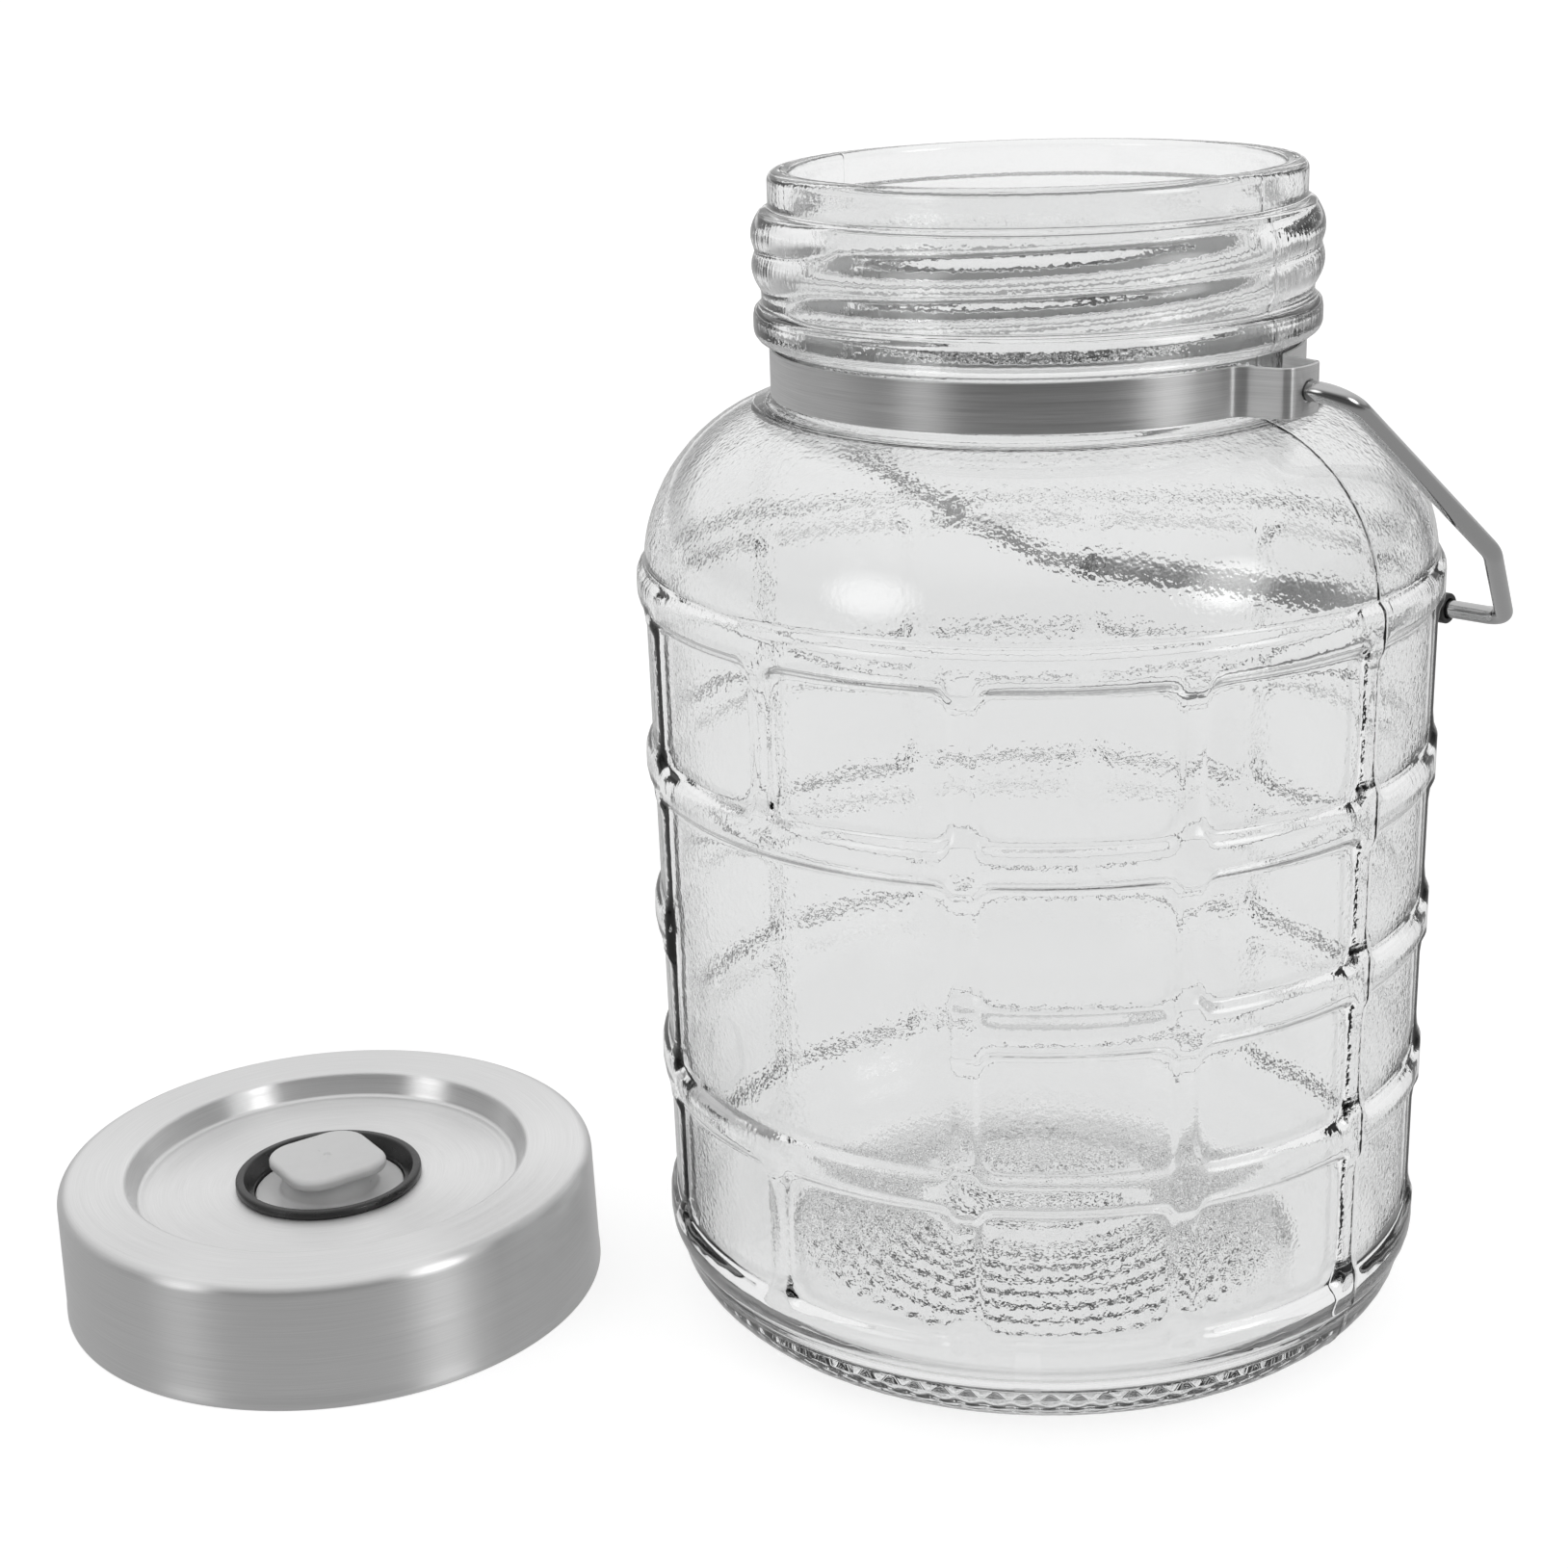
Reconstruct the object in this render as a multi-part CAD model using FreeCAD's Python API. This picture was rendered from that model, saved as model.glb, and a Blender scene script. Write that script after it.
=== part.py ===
import FreeCAD, Part
import math
import os

V = FreeCAD.Vector
Z = V(0, 0, 1)

# A large glass storage jar with a swinging wire bail, and its steel screw lid beside it.
# Lengths in mm, angles in degrees. The origin is the centre of the jar's base, +Z up.

# jar body
body_height = 219.9  # base to the foot of the neck
body_radius = 91.8  # outside, at the top of the wall
wall_draft = 1.3  # the foot of the wall is this much smaller in radius
heel_radius = 15.0
shoulder_slope = 12.7  # fall of the shoulder where it leaves the neck
neck_root_radius = 1.5
wall = 3.6
floor_corner = 13.0
floor_edge = 8.0  # inside floor above the ring that the jar stands on
floor_thick = 6.0  # over the hollow
push_up = 17.0  # height of the domed hollow under the base
push_up_radius = 63.0
push_up_lip = 1.5

# window-pane relief of the body
rib_count = 12
rib_turn = -99.5  # bearing of the first upright rib
rib_width = 6.8
rib_proud = 1.0
ring_width = 9.5
ring_proud = 1.9
ring_low = 20.0  # lowest ring above the base
ring_drop = 2.5  # highest ring below the start of the shoulder
ring_steps = (0.0, 0.258, 0.494, 0.733, 1.0)  # the rings between, along that span
rib_sink = 0.8
short_rib = 11  # the upright that is left out of the large pane
short_ring = 2  # the ring that is left out of it

# neck and mouth, heights above the foot of the neck
neck_radius = 59.8  # seat of the band
neck_wall = 4.8
seat_height = 13.1
bead_proud = 4.3
bead_height = 8.6
land_proud = 2.1
land_top = 42.2
lip_proud = 0.3
neck_height = 51.1
neck_joint = 2.5  # where the neck is parted from the body, inside the band
rim_round = 2.3
mouth_round = 1.6

# two-start screw thread of the neck
thread_starts = 2
thread_lead = 14.0
thread_sweep = 380.0
thread_turn = -150.0  # bearing of the first start
thread_base = 24.0  # height of the start above the foot of the neck
thread_proud = 2.2
thread_width = 6.4
thread_taper = 28.0  # length of each run-out
thread_sink = 1.0

# steel band round the neck, with two hollow ears
band_gap = 0.1  # strip to glass
band_thick = 0.8
band_height = 10.8
band_foot = 1.1  # above the foot of the neck
ear_turn = -37.5  # bearing of the hinge line
ear_reach = 12.0  # band to the middle of the ear's face
ear_bulge = 1.5
ear_root_width = 17.4
ear_face_width = 12.5
ear_corner = 2.4
ear_root_fillet = 4.0
ear_hole_slack = 0.75  # the hole is this much wider than the wire

# wire bail
wire = 4.45  # diameter
bail_dip = 36.0  # below level at rest
bail_stub = 7.7  # length of wire inside the ear's face
bail_out = 8.2  # least reach of the leg line beyond the ear's face
bail_inset = 10.9  # leg line inside the jar's radius
bail_splay = 2.5  # the leg opens by this much down to its knee
bail_knee = 77.7  # hinge to knee
bail_drop = 120.5  # hinge to the middle of the crossbar
bail_draw = 13.8  # the knee lies this much outside the crossbar's corner
bail_turn_radius = 8.0
knee_radius = 16.0
corner_radius = 7.0

# grip on the crossbar
grip_length = 109.0
grip_diameter = 7.7
grip_wall = 0.6
grip_clearance = 0.3  # bushing bore to wire
bush_face = 2.0  # length of each bushing that shows
bush_plug = 7.0  # length inside the tube

# lid
lid_x = -177.7
lid_y = -18.4
lid_height = 32.5
lid_radius = 67.1  # at the hem
lid_draft = 0.8
lid_sheet = 0.8
lid_shoulder = 3.5
hem_height = 2.4
hem_width = 1.9
recess_radius = 49.8
recess_depth = 6.2
recess_draft = 2.5
vent_outer = 23.2
vent_inner = 20.0
vent_proud = 2.0
vent_depth = 6.0  # lid's recess down to the foot of the vent cup
vent_rim_wall = 2.0
vent_throat = 1.5  # the rim slopes in to this far below the recess
vent_sheet = 1.2
knob_disc = 18.6  # radius
knob_disc_thick = 2.4
knob_neck = 12.0  # radius
knob_half = 12.8
knob_corner = 7.5
knob_plate = 3.3
knob_turn = 40.0
knob_above = 0.1  # top of the knob over the lid's rim

# places that follow from the sizes
base_radius = body_radius - wall_draft
lean = math.radians(shoulder_slope)
shoulder_run = (body_radius - neck_radius) / math.cos(lean)
shoulder_corner = body_height - (body_radius - neck_radius) * math.tan(lean)
shoulder_radius = (shoulder_run - neck_root_radius) / math.tan(math.radians(90.0 - shoulder_slope) / 2)
shoulder_start = shoulder_corner - (shoulder_run - neck_root_radius)
ring_top = shoulder_start - ring_drop
ring_heights = [ring_low + (ring_top - ring_low) * step for step in ring_steps]
mouth_radius = neck_radius - neck_wall
land_radius = neck_radius + land_proud
band_inner = neck_radius + band_gap
band_outer = band_inner + band_thick
ear_face = band_outer + ear_reach
ear_hole = wire + ear_hole_slack
leg_line = max(ear_face + bail_out, body_radius - bail_inset)
hinge_z = body_height + band_foot + band_height / 2
lid_recess = lid_height - recess_depth


def rounded_wire(corners, closed):
    """Lines joined by tangent arcs through corners (x, y, z, radius); an open wire keeps its ends sharp."""
    points = [V(x, y, z) for x, y, z, _ in corners]
    count = len(points)
    path = []
    for i in range(count):
        radius = corners[i][3]
        if radius <= 0 or (not closed and i in (0, count - 1)):
            path.append((points[i], None, points[i]))
            continue
        back = (points[i - 1] - points[i]).normalize()
        ahead = (points[(i + 1) % count] - points[i]).normalize()
        half = back.getAngle(ahead) / 2
        reach = radius / math.tan(half)
        inward = (back + ahead).normalize()
        middle = points[i] + inward * (radius / math.sin(half) - radius)
        path.append((points[i] + back * reach, middle, points[i] + ahead * reach))
    edges = []
    for i in range(count):
        start, middle, end = path[i]
        if middle is not None:
            edges.append(Part.Arc(start, middle, end).toShape())
        if closed or i < count - 1:
            after = path[(i + 1) % count][0]
            if end.distanceToPoint(after) > 1e-6:
                edges.append(Part.makeLine(end, after))
    return Part.Wire(edges)


def turned(corners):
    """Solid of revolution about Z from a closed outline of (radius, height, corner radius)."""
    outline = rounded_wire([(r, 0, z, c) for r, z, c in corners], True)
    return Part.Face(outline).revolve(V(0, 0, 0), Z, 360)


def ridge_edges(width, proud, sink):
    """Half width at the sunk chord of a round-backed ridge that is `width` wide where it leaves the wall."""
    radius = (width**2 / 4 + proud**2) / (2 * proud)
    return math.sqrt(radius**2 - (radius - proud - sink) ** 2)


def wall_radius(height):
    """Outside radius of the body's wall."""
    return base_radius + wall_draft * height / shoulder_corner


def ring_rib(height, start, sweep):
    """A round-backed hoop on the wall over part of a turn or all of it."""
    r = wall_radius(height)
    half = ridge_edges(ring_width, ring_proud, rib_sink)
    low = V(r - rib_sink, 0, height - half)
    high = V(r - rib_sink, 0, height + half)
    arc = Part.Arc(low, V(r + ring_proud, 0, height), high).toShape()
    face = Part.Face(Part.Wire([arc, Part.makeLine(high, low)]))
    hoop = face.revolve(V(0, 0, 0), Z, sweep)
    hoop.rotate(V(0, 0, 0), Z, start)
    return hoop


def upright_rib(bearing, low, high):
    """A round-backed upright on the wall between two heights."""
    r = wall_radius(low)
    half = ridge_edges(rib_width, rib_proud, rib_sink)
    left = V(r - rib_sink, -half, low)
    right = V(r - rib_sink, half, low)
    arc = Part.Arc(left, V(r + rib_proud, 0, low), right).toShape()
    face = Part.Face(Part.Wire([arc, Part.makeLine(right, left)]))
    rib = face.extrude(V(wall_radius(high) - r, 0, high - low))
    rib.rotate(V(0, 0, 0), Z, bearing)
    return rib


def thread_ridge(start):
    """One helical ridge that swells from nothing, runs on and dies away again."""
    half = ridge_edges(thread_width, thread_proud, thread_sink)
    count = int(thread_sweep / 15) + 1
    sections = []
    for i in range(count + 1):
        turn = thread_sweep * i / count
        swell = min(1.0, turn / thread_taper, (thread_sweep - turn) / thread_taper)
        rise = -0.5 * thread_sink + (thread_proud + 0.5 * thread_sink) * math.sin(swell * math.pi / 2)
        height = body_height + thread_base + thread_lead * turn / 360
        low = V(land_radius - thread_sink, 0, height - half)
        high = V(land_radius - thread_sink, 0, height + half)
        arc = Part.Arc(low, V(land_radius + rise, 0, height), high).toShape()
        wire_loop = Part.Wire([arc, Part.makeLine(high, low)])
        wire_loop.rotate(V(0, 0, 0), Z, start + turn)
        sections.append(wire_loop)
    return Part.makeLoft(sections, True, False)


def dome_round(radius, rise):
    """Radius that rounds a low dome whose level top and sloping side meet half way out."""
    slope = math.atan2(rise, radius / 2)
    return radius / 2 / math.tan(slope / 2)


def jar_body():
    """The jar below its neck: a hollow turned body on a domed base, with panes raised on its wall."""
    parting = body_height + neck_joint
    inner_start = shoulder_radius - wall
    inner_corner = shoulder_corner - wall / math.cos(lean) + wall * math.tan(lean)
    hollow_top = push_up + floor_thick
    glass = turned(
        [
            (0, push_up, 0),
            (push_up_radius / 2, push_up, dome_round(push_up_radius, push_up)),
            (push_up_radius, 0, push_up_lip),
            (base_radius, 0, heel_radius),
            (body_radius, shoulder_corner, shoulder_radius),
            (neck_radius, body_height, neck_root_radius),
            (neck_radius, parting, 0),
            (mouth_radius, parting, 0),
            (mouth_radius, body_height - wall, 3.0),
            (body_radius - wall, inner_corner, inner_start),
            (base_radius - wall, floor_edge, floor_corner),
            (push_up_radius + push_up_lip, floor_edge, push_up_lip + floor_thick),
            (push_up_radius / 2, hollow_top, dome_round(push_up_radius, hollow_top - floor_edge)),
            (0, hollow_top, 0),
        ]
    )
    pitch = 360.0 / rib_count
    relief = []
    for i, height in enumerate(ring_heights):
        if i == short_ring:
            first = rib_turn + pitch * short_rib
            relief.append(ring_rib(height, first + pitch, 360.0 - 2 * pitch))
        else:
            relief.append(ring_rib(height, 0, 360))
    for i in range(rib_count):
        bearing = rib_turn + pitch * i
        if i == short_rib:
            relief.append(upright_rib(bearing, ring_heights[0], ring_heights[1]))
            relief.append(upright_rib(bearing, ring_heights[3], ring_heights[4]))
        else:
            relief.append(upright_rib(bearing, ring_heights[0], ring_heights[4]))
    return glass.fuse(relief)


def jar_neck():
    """The neck: a seat for the band, a bead, the thread and a rounded rim."""
    foot = body_height
    glass = turned(
        [
            (neck_radius, foot + neck_joint, 0),
            (neck_radius, foot + seat_height, 0.8),
            (neck_radius + bead_proud, foot + seat_height + 0.8, 3.0),
            (neck_radius + bead_proud, foot + seat_height + bead_height - 1.0, 3.0),
            (land_radius, foot + seat_height + bead_height, 1.0),
            (land_radius, foot + land_top, 1.0),
            (neck_radius + lip_proud, foot + land_top + 0.8, 0.8),
            (neck_radius + lip_proud, foot + neck_height, rim_round),
            (mouth_radius, foot + neck_height, mouth_round),
            (mouth_radius, foot + neck_joint, 0),
        ]
    )
    threads = [thread_ridge(thread_turn + 360.0 * i / thread_starts) for i in range(thread_starts)]
    return glass.fuse(threads)


def ear_block(shrink):
    """Plan of the band's outside and its two ears as a block, moved inwards by `shrink`."""
    radius = band_outer - shrink
    face = ear_face - shrink
    side = math.atan2((ear_root_width - ear_face_width) / 2, ear_reach - ear_bulge)
    step = shrink / math.cos(side)
    edge = ear_face - ear_bulge - shrink
    face_half = ear_face_width / 2 - step + shrink * math.tan(side)
    inner = radius - 12.0
    inner_half = face_half + (edge - inner) * math.tan(side)
    low = V(edge, -face_half, 0)
    high = V(edge, face_half, 0)
    arc = Part.Arc(low, V(face, 0, 0), high).toShape()
    back_high = V(inner, inner_half, 0)
    back_low = V(inner, -inner_half, 0)
    lines = [Part.makeLine(high, back_high), Part.makeLine(back_high, back_low), Part.makeLine(back_low, low)]
    ear = Part.Face(Part.Wire([arc] + lines)).extrude(Z * band_height)
    corners = [e for e in ear.Edges if is_upright(e) and e.Vertexes[0].Point.x > inner + 1]
    ear = ear.makeFillet(ear_corner - shrink, corners)
    other = ear.copy()
    other.rotate(V(0, 0, 0), Z, 180)
    block = Part.makeCylinder(radius, band_height).fuse([ear, other]).removeSplitter()
    upright = [e for e in block.Edges if is_upright(e)]
    on_ring = [e for e in upright if abs(math.hypot(*e.Vertexes[0].Point[:2]) - radius) < 0.01]
    roots = [e for e in on_ring if 1 < abs(e.Vertexes[0].Point.y) < 1.5 * ear_root_width]
    return block.makeFillet(ear_root_fillet + shrink, roots)


def is_upright(edge):
    """A straight edge along Z."""
    ends = edge.Vertexes
    return len(ends) == 2 and (ends[0].Point - ends[1].Point).cross(Z).Length < 1e-6


def neck_band():
    """Steel strip round the neck that swells into a hollow ear on each side, holed for the bail."""
    band = ear_block(0).cut(ear_block(band_thick))
    hole_start = V(-ear_face - 10, 0, band_height / 2)
    hole = Part.makeCylinder(ear_hole / 2, 2 * ear_face + 20, hole_start, V(1, 0, 0))
    inside = Part.makeCylinder(band_outer + 0.5, band_height)
    band = band.cut(hole.cut(inside))
    band.rotate(V(0, 0, 0), Z, ear_turn)
    band.translate(Z * (body_height + band_foot))
    return band


def place_on_bail(shape):
    """Set a shape drawn with the hinge along X and the bail along Y into its rest pose on the jar."""
    shape.rotate(V(0, 0, 0), V(1, 0, 0), -bail_dip)
    shape.rotate(V(0, 0, 0), Z, ear_turn)
    shape.translate(Z * hinge_z)
    return shape


def bail_wire():
    """One bent wire: a stub in each ear, a leg with a knee, and the crossbar."""
    knee = leg_line + bail_splay
    end = knee - bail_draw
    half = [
        (ear_face - bail_stub, 0, 0, 0),
        (leg_line, 0, 0, bail_turn_radius),
        (knee, bail_knee, 0, knee_radius),
        (end, bail_drop, 0, corner_radius),
    ]
    corners = half + [(-x, y, z, r) for x, y, z, r in reversed(half)]
    path = rounded_wire(corners, False)
    profile = Part.Wire(Part.makeCircle(wire / 2, V(half[0][0], 0, 0), V(1, 0, 0)))
    return place_on_bail(path.makePipeShell([profile], True, True))


def pipe(outer, inner, start, length):
    """A tube along X on the crossbar's line."""
    at = V(start, bail_drop, 0)
    return Part.makeCylinder(outer, length, at, V(1, 0, 0)).cut(
        Part.makeCylinder(inner, length, at, V(1, 0, 0))
    )


def grip_tube():
    """Steel tube of the grip."""
    half = grip_length / 2 - bush_face
    return place_on_bail(pipe(grip_diameter / 2, grip_diameter / 2 - grip_wall, -half, 2 * half))


def grip_bush(side):
    """Bushing in one end of the grip: a plug in the tube and a face as wide as the tube."""
    bore = wire / 2 + grip_clearance
    half = grip_length / 2
    face = pipe(grip_diameter / 2, bore, half - bush_face, bush_face)
    plug = pipe(grip_diameter / 2 - grip_wall, bore, half - bush_face - bush_plug, bush_plug)
    bush = face.fuse(plug).removeSplitter()
    if side < 0:
        bush = bush.mirror(V(0, 0, 0), V(1, 0, 0))
    return place_on_bail(bush)


def lid_shell():
    """Pressed steel lid, open below, with a hem at its foot and a recessed top holed for the vent."""
    top = lid_radius - lid_draft
    inside_top = top - lid_sheet
    inside_foot = lid_radius - lid_sheet
    under = lid_height - lid_sheet
    well = recess_radius - recess_draft
    shell = turned(
        [
            (lid_radius - hem_width, 0, 0.6),
            (lid_radius, 0, 0.6),
            (top, lid_height, lid_shoulder),
            (recess_radius, lid_height, 1.4),
            (well, lid_recess, 1.2),
            (vent_inner, lid_recess, 0),
            (vent_inner, lid_recess - lid_sheet, 0),
            (well + lid_sheet * 0.7, lid_recess - lid_sheet, 1.2 + lid_sheet),
            (recess_radius + lid_sheet * 0.7, under, 1.4 - lid_sheet),
            (inside_top, under, lid_shoulder - lid_sheet),
            (inside_foot, hem_height, 0),
            (lid_radius - hem_width, hem_height, 0),
        ]
    )
    shell.translate(V(lid_x, lid_y, 0))
    return shell


def vent_ring():
    """Black vent cup: a raised rim on the lid and a shallow well through it."""
    foot = lid_recess - vent_depth
    rim = lid_recess + vent_proud
    ring = turned(
        [
            (0, foot, 0),
            (vent_inner, foot, 1.0),
            (vent_inner, lid_recess, 0),
            (vent_outer, lid_recess, 0),
            (vent_outer, rim, 0.8),
            (vent_outer - vent_rim_wall, rim, 0.6),
            (vent_inner - vent_sheet, lid_recess - vent_throat, 1.0),
            (vent_inner - vent_sheet, foot + vent_sheet, 0),
            (0, foot + vent_sheet, 0),
        ]
    )
    ring.translate(V(lid_x, lid_y, 0))
    return ring


def vent_knob():
    """White vent knob: a disc in the well, a neck and a rounded square plate."""
    foot = lid_recess - vent_depth + vent_sheet
    top = lid_height + knob_above
    under = top - knob_plate
    disc_radius = min(knob_disc, vent_inner - vent_sheet - 0.2)
    disc = Part.makeCylinder(disc_radius, knob_disc_thick, V(0, 0, foot))
    neck = Part.makeCylinder(knob_neck, under - foot, V(0, 0, foot))
    h = knob_half
    corners = [(x, y, under, knob_corner) for x, y in ((-h, -h), (h, -h), (h, h), (-h, h))]
    plate = Part.Face(rounded_wire(corners, True)).extrude(Z * knob_plate)
    edges = [e for e in plate.Edges if abs(e.BoundBox.ZMin - top) < 1e-6]
    plate = plate.makeFillet(1.2, edges)
    plate.rotate(V(0, 0, 0), Z, knob_turn)
    knob = disc.fuse([neck, plate]).removeSplitter()
    knob.translate(V(lid_x, lid_y, 0))
    return knob


nodes = {
    "jar_body": jar_body(),
    "jar_neck": jar_neck(),
    "neck_band": neck_band(),
    "bail_wire": bail_wire(),
    "grip_tube": grip_tube(),
    "grip_bush_near": grip_bush(1),
    "grip_bush_far": grip_bush(-1),
    "lid_shell": lid_shell(),
    "vent_ring": vent_ring(),
    "vent_knob": vent_knob(),
}
os.makedirs("parts", exist_ok=True)
for name, shape in nodes.items():
    shape.exportStep("parts/" + name + ".step")
    box = shape.BoundBox
    print(
        name,
        "valid" if shape.isValid() else "INVALID",
        len(shape.Solids),
        "solid(s)",
        round(shape.Volume),
        "mm3",
        [round(v, 2) for v in (box.XMin, box.XMax, box.YMin, box.YMax, box.ZMin, box.ZMax)],
    )
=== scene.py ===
from math import acos, atan2, ceil, cos, pi, radians, sin, sqrt, tan, tau

import bpy
import mathutils
import numpy as np
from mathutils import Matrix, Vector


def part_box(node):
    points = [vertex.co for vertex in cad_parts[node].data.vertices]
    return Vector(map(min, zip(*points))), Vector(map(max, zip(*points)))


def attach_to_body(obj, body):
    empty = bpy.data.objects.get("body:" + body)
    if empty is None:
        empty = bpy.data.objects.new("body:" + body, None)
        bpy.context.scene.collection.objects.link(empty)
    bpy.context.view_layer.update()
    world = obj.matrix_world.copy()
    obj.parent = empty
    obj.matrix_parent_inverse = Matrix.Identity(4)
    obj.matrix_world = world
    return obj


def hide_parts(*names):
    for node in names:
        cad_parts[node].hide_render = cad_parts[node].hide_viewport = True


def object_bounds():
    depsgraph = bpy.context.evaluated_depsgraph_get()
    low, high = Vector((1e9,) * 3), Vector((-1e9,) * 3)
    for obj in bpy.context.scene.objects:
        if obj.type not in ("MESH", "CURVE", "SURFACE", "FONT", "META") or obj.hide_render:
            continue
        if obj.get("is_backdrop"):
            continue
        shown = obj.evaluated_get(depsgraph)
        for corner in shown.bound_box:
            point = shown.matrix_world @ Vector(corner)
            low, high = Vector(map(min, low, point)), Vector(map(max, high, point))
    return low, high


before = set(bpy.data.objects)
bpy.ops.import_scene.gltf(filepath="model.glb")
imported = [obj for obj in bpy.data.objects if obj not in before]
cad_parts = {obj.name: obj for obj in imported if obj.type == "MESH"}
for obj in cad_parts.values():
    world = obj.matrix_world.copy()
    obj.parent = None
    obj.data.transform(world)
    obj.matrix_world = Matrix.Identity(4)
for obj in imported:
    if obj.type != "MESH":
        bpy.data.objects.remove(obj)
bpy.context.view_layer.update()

bl_info = {
    "name": "Glass Storage Jar",
    "version": (1, 0, 0),
    "blender": (4, 5, 0),
    "location": "View3D > Sidebar > Jar",
    "description": "Clear glass storage jar with a wire bail, and its steel screw lid beside it",
    "category": "Add Mesh",
}

MM = 0.001
BLACK = (0.0, 0.0, 0.0)
PANE_TURN = tau / 12


# ---- sizes and finishes


def length(name, description, default):
    """A size in metres."""
    return bpy.props.FloatProperty(
        name=name, description=description, default=default, min=0.0, unit="LENGTH", precision=5
    )


def bearing(name, description, default):
    """An angle about the vertical, given in degrees."""
    return bpy.props.FloatProperty(
        name=name, description=description, default=radians(default), unit="ROTATION"
    )


def share(name, description, default, high=1.0):
    """A plain number."""
    return bpy.props.FloatProperty(name=name, description=description, default=default, min=0.0, max=high)


def colour(name, description, default):
    """A colour."""
    return bpy.props.FloatVectorProperty(
        name=name, description=description, default=default, size=3, min=0.0, max=1.0, subtype="COLOR"
    )


class GlassSizes(bpy.types.PropertyGroup):
    """Sizes of the glass jar."""

    body_height: length("Body height", "Base to the foot of the neck", 0.2199)
    body_radius: length("Body radius", "Outside, at the top of the wall", 0.0918)
    wall_draft: length("Wall draft", "Loss of radius toward the foot", 0.0013)
    heel_radius: length("Heel", "Rounding at the foot of the wall", 0.015)
    shoulder_slope: bearing("Shoulder slope", "Fall of the shoulder at the neck", 12.7)
    wall: length("Wall", "Thickness of the glass", 0.0036)
    push_up: length("Push-up", "Height of the hollow", 0.017)
    push_up_radius: length("Push-up radius", "Radius of the hollow", 0.063)
    circle_pitch: length("Base circles", "Spacing of the raised circles", 0.0037)
    floor_edge: length("Floor edge", "Height of the inside floor at its edge", 0.008)
    floor_thick: length("Floor", "Glass over the hollow", 0.006)
    neck_radius: length("Neck radius", "Seat of the band", 0.0598)
    neck_wall: length("Neck wall", "Thickness of the neck", 0.0048)
    neck_height: length("Neck height", "Foot of the neck to the rim", 0.0511)
    land_top: length("Land top", "Top of the threaded part", 0.0422)
    rib_turn: bearing("First rib", "Bearing of the first upright rib", -99.5)
    ring_width: length("Ring width", "Width of a ring on the wall", 0.0095)
    rib_width: length("Rib width", "Width of an upright on the wall", 0.0068)
    rib_proud: length("Upright height", "How far the uprights stand out", 0.0005)
    ring_proud: length("Ring height", "How far the rings stand out", 0.0018)
    pane_corner: length("Pane corner", "Rounding of the panes between the ribs", 0.0034)
    thread_lead: length("Thread lead", "Climb of the thread in a turn", 0.014)
    thread_proud: length("Thread height", "How far the thread stands out", 0.0022)
    seam_proud: length("Mould seam", "How far the seams stand out", 0.00028)
    seam_turn: bearing("Seam", "Bearing of the first mould seam", -38.2)


class SteelSizes(bpy.types.PropertyGroup):
    """Sizes of the band, the bail and the grip."""

    band_inner: length("Band inside", "Inner radius of the band", 0.0599)
    band_thick: length("Band thickness", "Thickness of the strip", 0.0008)
    band_height: length("Band height", "Width of the strip", 0.0108)
    band_foot: length("Band foot", "Foot of the neck to the band", 0.0011)
    ear_turn: bearing("Hinge line", "Bearing of the bail's hinge line", -37.5)
    ear_reach: length("Ear reach", "Band to the middle of the ear's face", 0.012)
    ear_bulge: length("Ear bulge", "How far the ear's face bulges", 0.0015)
    ear_root: length("Ear root", "Width of an ear at the band", 0.0174)
    ear_face: length("Ear face", "Width of an ear at its face", 0.0125)
    ear_hole: length("Ear hole", "Diameter of the hole for the wire", 0.0052)
    wire: length("Wire", "Diameter of the bail's wire", 0.00445)
    bail_dip: bearing("Dip", "The bail's fall below level at rest", 36.0)
    bail_drop: length("Drop", "Hinge to the middle of the crossbar", 0.1205)
    bail_knee: length("Knee", "Hinge to the knee of each leg", 0.0777)
    grip_length: length("Grip length", "Length of the grip", 0.109)
    grip_diameter: length("Grip diameter", "Outside diameter of the grip", 0.0077)


class LidSizes(bpy.types.PropertyGroup):
    """Sizes of the lid and its vent."""

    radius: length("Lid radius", "Outside, at the hem", 0.0671)
    draft: length("Draft", "The top is this much smaller in radius", 0.0008)
    height: length("Lid height", "Hem to the rim of the top", 0.0325)
    sheet: length("Sheet", "Thickness of the steel", 0.0008)
    shoulder: length("Edge", "Rounding of the lid's outer edge", 0.0035)
    recess_radius: length("Recess", "Radius of the recessed top", 0.0498)
    recess_depth: length("Recess depth", "Depth of the recessed top", 0.0062)
    vent_outer: length("Vent rim", "Outer radius of the vent's rim", 0.0232)
    vent_inner: length("Vent hole", "Radius of the hole for the vent", 0.02)
    knob_half: length("Knob", "Half the width of the knob's plate", 0.0128)
    knob_turn: bearing("Knob turn", "Bearing of the knob's sides", 40.0)


class JarFinish(bpy.types.PropertyGroup):
    """Colours and gloss."""

    glass_tint: colour("Glass", "Tint of the clear glass at each face", (0.87, 0.873, 0.873))
    glass_mottle: share("Mottle", "Unevenness of the glass inside", 0.35)
    band_steel: colour("Band steel", "Brushed steel of the band", (0.74, 0.74, 0.74))
    lid_steel: colour("Lid steel", "Brushed steel of the lid", (0.76, 0.76, 0.76))
    wire_steel: colour("Wire steel", "Polished steel of the bail", (0.47, 0.47, 0.47))
    knob_white: colour("Knob", "White plastic of the knob", (0.60, 0.60, 0.60))
    vent_black: colour("Vent", "Black plastic", (0.011, 0.011, 0.011))
    floor_pale: colour("Floor", "Pale floor", (0.35, 0.35, 0.35))
    floor_glow: share("Floor glow", "Light from the floor", 0.62)
    studio_light: share("Studio light", "Strength of the soft light", 1.0, 10.0)


# ---- mesh helpers


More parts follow.
